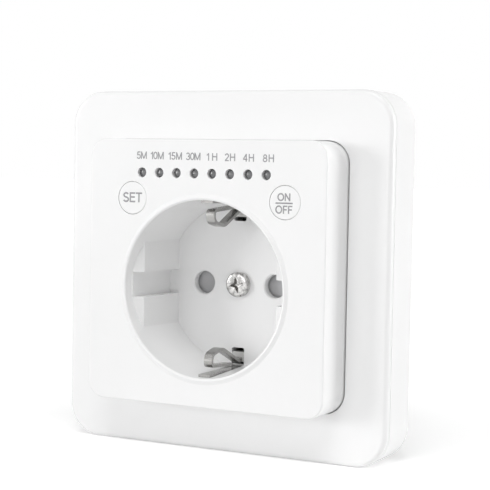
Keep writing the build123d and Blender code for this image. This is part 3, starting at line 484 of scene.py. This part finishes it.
def pen_tree():
    """A node tree that draws flat strokes along curves."""
    tree = bpy.data.node_groups.new("pen_strokes", "GeometryNodeTree")
    interface = tree.interface
    interface.new_socket("Geometry", in_out="INPUT", socket_type="NodeSocketGeometry")
    for label in ("Pen", "Depth"):
        interface.new_socket(label, in_out="INPUT", socket_type="NodeSocketFloat")
    interface.new_socket("Finish", in_out="INPUT", socket_type="NodeSocketMaterial")
    interface.new_socket("Geometry", in_out="OUTPUT", socket_type="NodeSocketGeometry")
    start = tree.nodes.new("NodeGroupInput")
    end = tree.nodes.new("NodeGroupOutput")
    nib = tree.nodes.new("GeometryNodeCurvePrimitiveQuadrilateral")
    tree.links.new(start.outputs["Pen"], nib.inputs["Width"])
    tree.links.new(start.outputs["Depth"], nib.inputs["Height"])
    draw = tree.nodes.new("GeometryNodeCurveToMesh")
    draw.inputs["Fill Caps"].default_value = True
    tree.links.new(start.outputs["Geometry"], draw.inputs["Curve"])
    tree.links.new(nib.outputs["Curve"], draw.inputs["Profile Curve"])
    solid = tree.nodes.new("GeometryNodeRealizeInstances")
    coat = tree.nodes.new("GeometryNodeSetMaterial")
    tree.links.new(start.outputs["Finish"], coat.inputs["Material"])
    tree.links.new(draw.outputs["Mesh"], solid.inputs["Geometry"])
    tree.links.new(solid.outputs["Geometry"], coat.inputs["Geometry"])
    tree.links.new(coat.outputs["Geometry"], end.inputs["Geometry"])
    return tree


def stroke_curve(strokes):
    """Curves in X and Y, each stroke a hair above the one before, so that none share a face."""
    curve = bpy.data.curves.new("strokes", "CURVE")
    curve.dimensions = "3D"
    curve.twist_mode = "Z_UP"
    for step, stroke in enumerate(strokes):
        closed = len(stroke) > 2 and math.dist(stroke[0], stroke[-1]) < CLOSED_WITHIN
        points = stroke[:-1] if closed else stroke
        spline = curve.splines.new("POLY")
        spline.points.add(len(points) - 1)
        for point, (x, y) in zip(spline.points, points):
            point.co = (x, y, STROKE_STEP * step, 1.0)
        spline.use_cyclic_u = closed
    return curve


def drawn(strokes, width):
    """Draw strokes with a pen of a width."""
    values = {"Pen": width, "Depth": INK_DEPTH, "Finish": grey_ink}
    curve = stroke_curve(strokes)
    mesh = grown_mesh("strokes", curve, pen, values)
    bpy.data.curves.remove(curve)
    return mesh


def word_mesh(word, width, height, thickness):
    """A word of a width and a height, its middle at the origin."""
    room = width / height - sum(LETTERS[letter][0] for letter in word)
    gap = room / (len(word) - 1)
    strokes = []
    x = -width / 2
    for letter in word:
        wide, lines = LETTERS[letter]
        for line in lines:
            strokes.append([(x + u * height, (v - 0.5) * height) for u, v in line])
        x += (wide + gap) * height
    return drawn(strokes, thickness)


def printed(name, marks, body):
    """Print marks on the front: each is a mesh, with the X and Z of its middle in millimetres."""
    build = bmesh.new()
    stand = Matrix.Rotation(QUARTER_TURN, 4, "X")
    ink_level = FRONT_LEVEL + INK_LIFT - INK_DEPTH / 2
    for mesh, x, z in marks:
        place = Matrix.Translation((x * MM, -ink_level * MM, z * MM))
        mesh.transform(place @ stand @ Matrix.Scale(MM, 4))
        build.from_mesh(mesh)
        bpy.data.meshes.remove(mesh)
    bmesh.ops.recalc_face_normals(build, faces=build.faces)
    result = bpy.data.meshes.new(name)
    build.to_mesh(result)
    build.free()
    settle(name, result, grey_ink, body)


def beside(place, offset):
    return place[0] + offset[0], place[1] + offset[1]


pen = pen_tree()
time_marks = []
for word, (x, width) in TIMES.items():
    z = LIGHT_Z + TIME_RISE + TIME_SLOPE * x
    time_marks.append((word_mesh(word, width, TIME_HEIGHT, TIME_PEN), x, z))
printed("time_print", time_marks, "outlet")
printed("set_print", [(word_mesh("SET", *SET_SIZE, SET_PEN), *beside(SET_AT, SET_OFFSET))], "set_key")
divider = [(-DIVIDER[0] / 2, 0.0), (DIVIDER[0] / 2, 0.0)]
switch_marks = [
    (word_mesh("ON", *ON_SIZE, SWITCH_PEN), *beside(POWER_AT, ON_OFFSET)),
    (word_mesh("OFF", *OFF_SIZE, SWITCH_PEN), *beside(POWER_AT, OFF_OFFSET)),
    (drawn([divider], DIVIDER[1]), *beside(POWER_AT, DIVIDER_OFFSET)),
]
printed("power_print", switch_marks, "power_key")


# Front cover with its moulded draft: the recess and its guides narrow towards the floor

def bore_at(y):
    """Radius of the recess wall at a depth."""
    return BORE + (BORE_FLOOR - BORE) * (y - BORE_TOP) / (FLOOR_FRONT - BORE_TOP)


def chord(radius, across):
    """Rise of a circle at a distance across it."""
    return math.sqrt(radius * radius - across * across)


def facet_at(across):
    """Depth of the sloped front of a guide."""
    return GUIDE_LEVEL - GUIDE_SLOPE * (across - GUIDE_FRONT_FLAT - GUIDE_EDGE)


def guide_front_spot(across, rise, on_wall):
    """New place of a point on the front of a guide, as across, depth and rise."""
    outer = GUIDE_FLAT + GUIDE_CHAMFER
    if on_wall and across > outer + NEAR:
        shrink = GUIDE_WALL / BORE
        return across * shrink, facet_at(across * shrink), rise * shrink
    if on_wall:
        share = min(1.0, (outer - across) / (outer - chord(BORE, GUIDE_HALF)))
    else:
        share = 1.0 if across < outer - NEAR else 0.0
    depth = GUIDE_LEVEL + GUIDE_EDGE * share
    new_across = GUIDE_FRONT_FLAT + GUIDE_EDGE * (1.0 - share)
    if abs(rise) < GROOVE_HALF + NEAR:
        new_rise = math.copysign(GROOVE_NEW_HALF, rise)
        if across > outer + NEAR:
            return GROOVE_FRONT_BACK, facet_at(GROOVE_FRONT_BACK), new_rise
        return new_across, depth, new_rise
    return new_across, depth, math.copysign(chord(GUIDE_WALL, new_across), rise)


def drafted_spot(x, y, z):
    """New place of a point of the front cover, in millimetres."""
    across = abs(x)
    rise = z - RECESS_Z
    on_wall = abs(math.hypot(x, rise) - BORE) < NEAR
    inside = BORE_TOP - NEAR < y < FLOOR_FRONT + NEAR and math.hypot(x, rise) < BORE + NEAR
    in_guide = across > GUIDE_FLAT - NEAR and abs(rise) < GUIDE_HALF + NEAR
    at_front = in_guide and GUIDE_TOP - NEAR < y < GUIDE_TOP + GUIDE_CHAMFER + NEAR
    at_floor = in_guide and y > FLOOR_FRONT - NEAR
    in_groove = abs(rise) < GROOVE_HALF + NEAR
    at_side = abs(rise) > GUIDE_HALF - NEAR
    if not inside or not (on_wall or in_guide):
        return x, y, z
    if at_front:
        across, y, rise = guide_front_spot(across, rise, on_wall)
    elif at_floor and in_groove:
        rise = math.copysign(GROOVE_NEW_HALF, rise)
    elif at_floor and at_side:
        across = GUIDE_FLAT
        rise = math.copysign(chord(BORE_FLOOR, GUIDE_FLAT), rise)
    elif on_wall and across < CHANNEL_HALF + NEAR:
        rise = math.copysign(chord(bore_at(y), across), rise)
    elif on_wall:
        shrink = bore_at(y) / BORE
        across *= shrink
        rise *= shrink
    return math.copysign(across, x), y, RECESS_Z + rise


def merged_copy(node):
    """A copy of a solid's mesh with its loose triangles joined, which keeps its normals in a layer."""
    mesh = frame["nodes"][node].data
    normals = [corner.vector.copy() for corner in mesh.corner_normals]
    build = bmesh.new()
    build.from_mesh(mesh)
    layer = build.loops.layers.float_vector.new(NORMAL_LAYER)
    for face, source in zip(build.faces, mesh.polygons):
        for loop, corner in zip(face.loops, source.loop_indices):
            loop[layer] = normals[corner]
    bmesh.ops.remove_doubles(build, verts=build.verts, dist=MERGE * MM)
    return build, layer


def finished(name, build):
    """The mesh of a merged copy, shaded with the normals of its layer."""
    for face in build.faces:
        face.smooth = True
    mesh = bpy.data.meshes.new(name)
    build.to_mesh(mesh)
    build.free()
    normals = [tuple(item.vector) for item in mesh.attributes[NORMAL_LAYER].data]
    mesh.attributes.remove(mesh.attributes[NORMAL_LAYER])
    if "custom_normal" in mesh.attributes:
        mesh.attributes.remove(mesh.attributes["custom_normal"])
    mesh.normals_split_custom_set(normals)
    return mesh


def is_wall(face):
    """Whether a face of the solid belongs to the wall of the recess."""
    for corner in face.verts:
        x, y, z = corner.co / MM
        off = abs(math.hypot(x, z - RECESS_Z) - BORE)
        if off > NEAR or not BORE_TOP - NEAR < y < FLOOR_FRONT + NEAR:
            return False
    return abs(face.normal.y) < NEAR


def draft_cover():
    """Replace the front cover by a copy of it whose recess has its draft."""
    build, layer = merged_copy("front_cover")
    wall = [face for face in build.faces if is_wall(face)]
    for corner in build.verts:
        spot = drafted_spot(*(corner.co / MM))
        corner.co = Vector(spot) * MM
    build.normal_update()
    for face in wall:
        lean = face.normal.y
        for loop in face.loops:
            inward = Vector((-loop.vert.co.x, 0.0, RECESS_Z * MM - loop.vert.co.z)).normalized()
            loop[layer] = inward * math.sqrt(1.0 - lean * lean) + Vector((0.0, lean, 0.0))
    bmesh.ops.remove_doubles(build, verts=build.verts, dist=NEAR * MM)
    bmesh.ops.dissolve_degenerate(build, edges=build.edges, dist=MERGE * MM)
    mesh = finished("drafted_cover", build)
    cover = settle("drafted_cover", mesh, gloss_white, "outlet")
    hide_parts("front_cover")


draft_cover()


# Shutter spring, which runs from its foot on the base to its tip on the shutter, as a merged copy of its
# solid

def bend_spring():
    """Replace the spring by a merged copy of it."""
    build, _ = merged_copy("shutter_spring")
    piece = new_piece("bending_spring", finished("bending_spring", build), spring_strip)
    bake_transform(piece)
    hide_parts("shutter_spring")


bend_spring()


# Feet of the earth clips and the strap, which close most of the windows in the recess floor

def window_foot(name, way, span):
    """A flat foot below or above the axis of the recess, with its edges eased."""
    size = Vector((FOOT_WIDTH, FOOT_LEVELS[1] - FOOT_LEVELS[0], span[1] - span[0]))
    middle = Vector((0.0, sum(FOOT_LEVELS) / 2, RECESS_Z + way * sum(span) / 2))
    build = bmesh.new()
    bmesh.ops.create_cube(build, size=1.0)
    bmesh.ops.scale(build, vec=size * MM, verts=build.verts)
    bmesh.ops.bevel(
        build, geom=build.edges, offset=FOOT_ROUND * MM, offset_type="OFFSET", segments=2, profile=0.5,
        affect="EDGES"
    )
    bmesh.ops.translate(build, vec=middle * MM, verts=build.verts)
    mesh = bpy.data.meshes.new(name)
    build.to_mesh(mesh)
    build.free()
    settle(name, mesh, matt_nickel, "outlet")


for name, span in FEET.items():
    window_foot(name + "_bottom", -1, span)
    window_foot(name + "_top", 1, span)


# Threads on the claw screws

def thread_tree():
    """A node tree that winds a thread along Y from its start to its end."""
    tree = bpy.data.node_groups.new("screw_thread", "GeometryNodeTree")
    interface = tree.interface
    for label in ("Radius", "Pitch", "Start", "End", "Side"):
        interface.new_socket(label, in_out="INPUT", socket_type="NodeSocketFloat")
    interface.new_socket("Finish", in_out="INPUT", socket_type="NodeSocketMaterial")
    interface.new_socket("Geometry", in_out="OUTPUT", socket_type="NodeSocketGeometry")
    start = tree.nodes.new("NodeGroupInput")
    end = tree.nodes.new("NodeGroupOutput")

    def result_of(kind, a, b):
        node = tree.nodes.new("ShaderNodeMath")
        node.operation = kind
        for socket, value in zip(node.inputs, (a, b)):
            if isinstance(value, float):
                socket.default_value = value
            else:
                tree.links.new(value, socket)
        return node.outputs["Value"]

    length = result_of("SUBTRACT", start.outputs["End"], start.outputs["Start"])
    turns = result_of("DIVIDE", length, start.outputs["Pitch"])
    spiral = tree.nodes.new("GeometryNodeCurveSpiral")
    spiral.inputs["Resolution"].default_value = THREAD_STEPS
    tree.links.new(turns, spiral.inputs["Rotations"])
    tree.links.new(length, spiral.inputs["Height"])
    for socket in ("Start Radius", "End Radius"):
        tree.links.new(start.outputs["Radius"], spiral.inputs[socket])
    ridge = tree.nodes.new("GeometryNodeCurvePrimitiveCircle")
    ridge.inputs["Resolution"].default_value = RIDGE_SIDES
    tree.links.new(result_of("MULTIPLY", start.outputs["Pitch"], RIDGE_SHARE), ridge.inputs["Radius"])
    wind = tree.nodes.new("GeometryNodeCurveToMesh")
    wind.inputs["Fill Caps"].default_value = True
    tree.links.new(spiral.outputs["Curve"], wind.inputs["Curve"])
    tree.links.new(ridge.outputs["Curve"], wind.inputs["Profile Curve"])
    lay = tree.nodes.new("GeometryNodeTransform")
    lay.inputs["Rotation"].default_value = (-QUARTER_TURN, 0.0, 0.0)
    place = tree.nodes.new("ShaderNodeCombineXYZ")
    tree.links.new(start.outputs["Side"], place.inputs["X"])
    tree.links.new(start.outputs["Start"], place.inputs["Y"])
    tree.links.new(place.outputs["Vector"], lay.inputs["Translation"])
    tree.links.new(wind.outputs["Mesh"], lay.inputs["Geometry"])
    solid = tree.nodes.new("GeometryNodeRealizeInstances")
    coat = tree.nodes.new("GeometryNodeSetMaterial")
    tree.links.new(start.outputs["Finish"], coat.inputs["Material"])
    tree.links.new(lay.outputs["Geometry"], solid.inputs["Geometry"])
    tree.links.new(solid.outputs["Geometry"], coat.inputs["Geometry"])
    tree.links.new(coat.outputs["Geometry"], end.inputs["Geometry"])
    return tree


def wind_thread(name, tree, side, body):
    """Put a thread on the claw screw of a side, -1 for left and 1 for right."""
    values = {
        "Radius": (THREAD_RADIUS - THREAD_PITCH * RIDGE_SINK_SHARE) * MM,
        "Pitch": THREAD_PITCH * MM,
        "Start": THREAD_START * MM,
        "End": THREAD_END * MM,
        "Side": side * CLAW_SCREW_X * MM,
        "Finish": zinc_plate,
    }
    mesh = grown_mesh(name, bpy.data.meshes.new(name + "_path"), tree, values)
    settle(name, mesh, zinc_plate, body)


thread = thread_tree()
wind_thread("claw_thread_left", thread, -1, "claw_screw_left")
wind_thread("claw_thread_right", thread, 1, "claw_screw_right")


# Stage: a pale floor, a white world and soft lamps, with lamps in watts

SEEN_RAYS = ("Is Camera Ray", "Is Glossy Ray", "Is Transmission Ray")
FLOOR_SIDE = 8.0
FLOOR_COLOUR = (0.94, 0.94, 0.94, 1.0)
FLOOR_ROUGHNESS = 0.9
FLOOR_GLOW = (0.39, 0.74)
FLOOR_FADE = (0.10, 1.20)
SKY_FRONT = (0.0, -1.0, 0.0)
SKY_LOW = 0.0
SKY_HIGH = 0.64
LAMPS = {
    "key_lamp": {"at": (-1.60, -1.50, 0.24), "size": 0.60, "power": 11.7},
    "top_lamp": {"at": (0.15, -0.45, 0.95), "size": 0.70, "power": 4.0},
    "low_lamp": {"at": (-0.20, -1.05, 0.02), "size": 0.50, "power": 0.92},
    "fill_lamp": {"at": (1.0, 0.45, 0.20), "size": 0.40, "power": 5.6},
}
TARGET = (0.0, -0.012, 0.0)

# The photograph's camera: place in millimetres, turns in degrees, focal length in pixels
CAMERA_AT = (156.031, -300.04, 25.033)
CAMERA_YAW = 27.584
CAMERA_PITCH = 3.27
CAMERA_ROLL = 1.062
FOCAL_PIXELS = 1411.279
PICTURE_PIXELS = 490.0
SENSOR_WIDTH = 36.0
CLIP = (0.01, 50.0)


def any_ray(tree, names):
    """1 for a ray of any of the kinds named, and 0 for others."""
    path = tree.nodes.new("ShaderNodeLightPath")
    total = path.outputs[names[0]]
    for name in names[1:]:
        either = tree.nodes.new("ShaderNodeMath")
        either.operation = "MAXIMUM"
        tree.links.new(total, either.inputs[0])
        tree.links.new(path.outputs[name], either.inputs[1])
        total = either.outputs["Value"]
    return total


def make_floor():
    """A floor that keeps the object's shadow, and glows more further off, where it gets less light."""
    mesh = bpy.data.meshes.new("pale_floor")
    build = bmesh.new()
    bmesh.ops.create_grid(build, x_segments=2, y_segments=2, size=FLOOR_SIDE / 2)
    bmesh.ops.translate(build, vec=(0.0, 0.0, cad_box[0][2]), verts=build.verts)
    build.to_mesh(mesh)
    build.free()
    floor = bpy.data.objects.new("pale_floor", mesh)
    scene.collection.objects.link(floor)
    material, tree, shader, place = new_material("pale_floor")
    shader.inputs["Base Color"].default_value = FLOOR_COLOUR
    shader.inputs["Roughness"].default_value = FLOOR_ROUGHNESS
    shader.inputs["Specular IOR Level"].default_value = 0.0
    shader.inputs["Emission Color"].default_value = WHITE
    seen = any_ray(tree, SEEN_RAYS)
    away = tree.nodes.new("ShaderNodeVectorMath")
    away.operation = "LENGTH"
    tree.links.new(place, away.inputs[0])
    glow = tree.nodes.new("ShaderNodeMapRange")
    glow.inputs["From Min"].default_value = FLOOR_FADE[0]
    glow.inputs["From Max"].default_value = FLOOR_FADE[1]
    glow.inputs["To Min"].default_value = FLOOR_GLOW[0]
    glow.inputs["To Max"].default_value = FLOOR_GLOW[1]
    tree.links.new(away.outputs["Value"], glow.inputs["Value"])
    level = tree.nodes.new("ShaderNodeMath")
    level.operation = "MULTIPLY"
    tree.links.new(seen, level.inputs[0])
    tree.links.new(glow.outputs["Result"], level.inputs[1])
    tree.links.new(level.outputs["Value"], shader.inputs["Emission Strength"])
    mesh.materials.append(material)


def make_world():
    """A studio that is bright in front and dimmer behind, with a white background to look at."""
    world = bpy.data.worlds.new("white_studio")
    world.use_nodes = True
    tree = world.node_tree
    light = tree.nodes["Background"]
    light.inputs["Color"].default_value = WHITE
    place = tree.nodes.new("ShaderNodeTexCoord")
    facing = tree.nodes.new("ShaderNodeVectorMath")
    facing.operation = "DOT_PRODUCT"
    facing.inputs[1].default_value = SKY_FRONT
    tree.links.new(place.outputs["Generated"], facing.inputs[0])
    fade = tree.nodes.new("ShaderNodeMapRange")
    fade.inputs["From Min"].default_value = -1.0
    fade.inputs["From Max"].default_value = 1.0
    fade.inputs["To Min"].default_value = SKY_LOW
    fade.inputs["To Max"].default_value = SKY_HIGH
    tree.links.new(facing.outputs["Value"], fade.inputs["Value"])
    tree.links.new(fade.outputs["Result"], light.inputs["Strength"])
    backdrop = tree.nodes.new("ShaderNodeBackground")
    backdrop.inputs["Color"].default_value = WHITE
    backdrop.inputs["Strength"].default_value = 1.0
    choose = tree.nodes.new("ShaderNodeMixShader")
    seen = any_ray(tree, SEEN_RAYS)
    tree.links.new(seen, choose.inputs["Fac"])
    tree.links.new(light.outputs["Background"], choose.inputs[1])
    tree.links.new(backdrop.outputs["Background"], choose.inputs[2])
    tree.links.new(choose.outputs["Shader"], tree.nodes["World Output"].inputs["Surface"])
    scene.world = world


def make_lamp(name, lamp):
    light = bpy.data.lights.new(name, "AREA")
    light.shape = "DISK"
    light.size = lamp["size"]
    light.energy = lamp["power"]
    holder = bpy.data.objects.new(name, light)
    holder.location = lamp["at"]
    aim = Vector(TARGET) - Vector(lamp["at"])
    holder.rotation_euler = aim.to_track_quat("-Z", "Y").to_euler()
    scene.collection.objects.link(holder)


def make_camera():
    """The photograph's camera, from its place and its three turns."""
    place = Vector(CAMERA_AT) * MM
    yaw = math.radians(CAMERA_YAW)
    pitch = math.radians(CAMERA_PITCH)
    roll = math.radians(CAMERA_ROLL)
    ahead = Vector((-math.sin(yaw) * math.cos(pitch), math.cos(yaw) * math.cos(pitch), -math.sin(pitch)))
    level = Vector((math.cos(yaw), math.sin(yaw), 0.0))
    upright = level.cross(ahead)
    right = level * math.cos(roll) + upright * math.sin(roll)
    up = upright * math.cos(roll) - level * math.sin(roll)
    data = bpy.data.cameras.new("view")
    data.sensor_fit = "HORIZONTAL"
    data.sensor_width = SENSOR_WIDTH
    data.lens = FOCAL_PIXELS / PICTURE_PIXELS * SENSOR_WIDTH
    data.clip_start = CLIP[0]
    data.clip_end = CLIP[1]
    camera = bpy.data.objects.new("view", data)
    turn = Matrix((right, up, -ahead)).transposed()
    camera.matrix_world = Matrix.Translation(place) @ turn.to_4x4()
    scene.collection.objects.link(camera)
    scene.camera = camera


make_floor()
make_world()
for name, lamp in LAMPS.items():
    make_lamp(name, lamp)
make_camera()
scene.view_settings.view_transform = "Standard"
